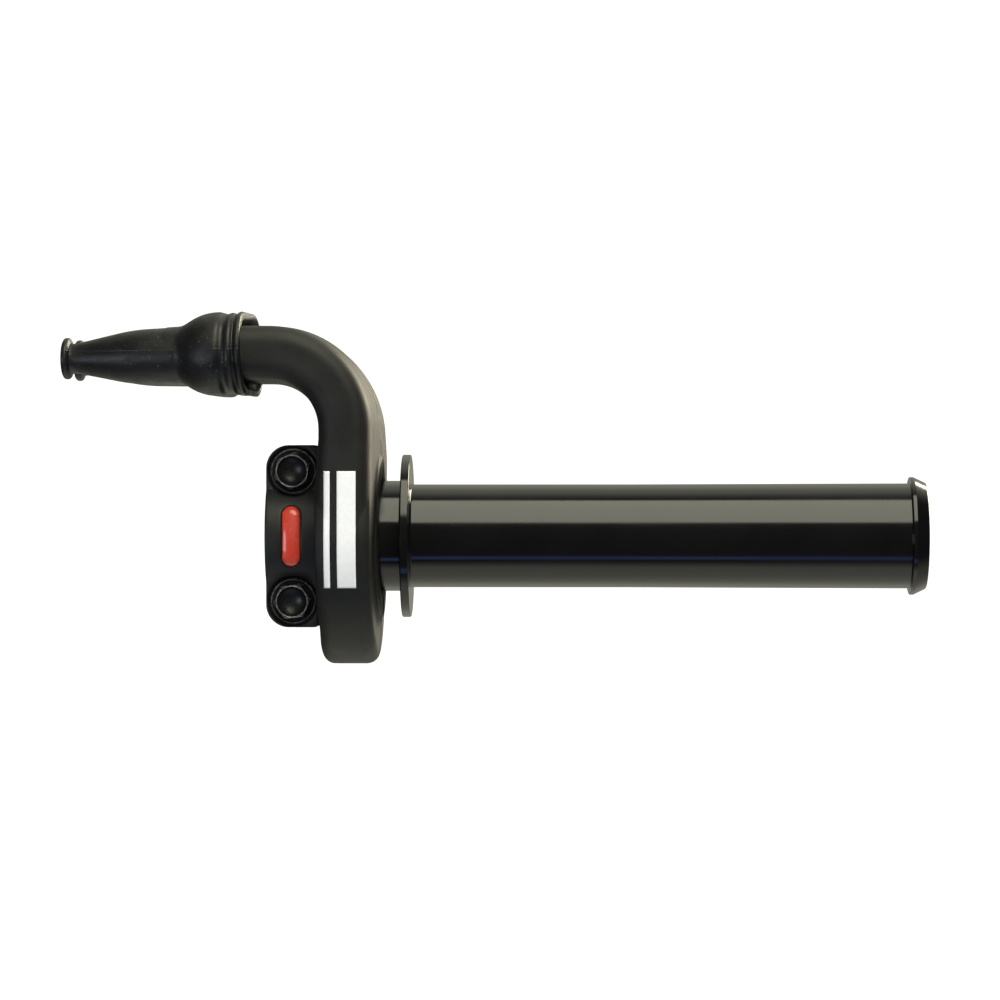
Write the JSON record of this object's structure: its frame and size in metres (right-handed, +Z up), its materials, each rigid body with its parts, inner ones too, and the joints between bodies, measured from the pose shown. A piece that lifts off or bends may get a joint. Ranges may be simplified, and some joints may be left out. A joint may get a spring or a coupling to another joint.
{
  "type": "motorcycle throttle grip",
  "caption": "Twist throttle: a flanged twist tube in a two-shell drum housing with a bent cable duct, rubber cable boot and split handlebar clamp.",
  "frame": {"origin": "centre of the handlebar clamp's bore", "axes": "+X outboard along the handlebar, +Z up towards the cable elbow, -Y towards the rider"},
  "size_m": [0.2234, 0.0695, 0.0911],
  "materials": {
    "housing": "satin moulded, finely textured",
    "clamp": "semi-gloss moulded",
    "bolts": "black coated steel, worn at the edges",
    "inserts": "turned",
    "screws": "zinc plated",
    "tube": "polished moulded",
    "acetal": "smooth",
    "cable_stop": "machined",
    "boot": "satin moulded rubber",
    "badge": "domed enamel",
    "decal": "printed"
  },
  "bodies": {
    "housing": {"front_housing": "housing", "rear_housing": "housing", "clamp_cap": "clamp", "clamp_bolts": "bolts", "clamp_inserts": "inserts", "housing_screws": "screws", "housing_inserts": "inserts", "inner_thrust_washer": "acetal", "outer_thrust_washer": "acetal", "cable_guide": "acetal", "cable_stop": "cable_stop", "cable_boot": "boot", "badge": "badge", "stripe_decal": "decal"},
    "twist_tube": {"throttle_tube": "tube", "cable_drum": "acetal"}
  },
  "joints": [
    {"name": "throttle_twist", "type": "hinge", "parent": "housing", "child": "twist_tube", "pos_m": [0, 0, 0], "axis": [1, 0, 0], "range_deg": [0, 72]}
  ]
}
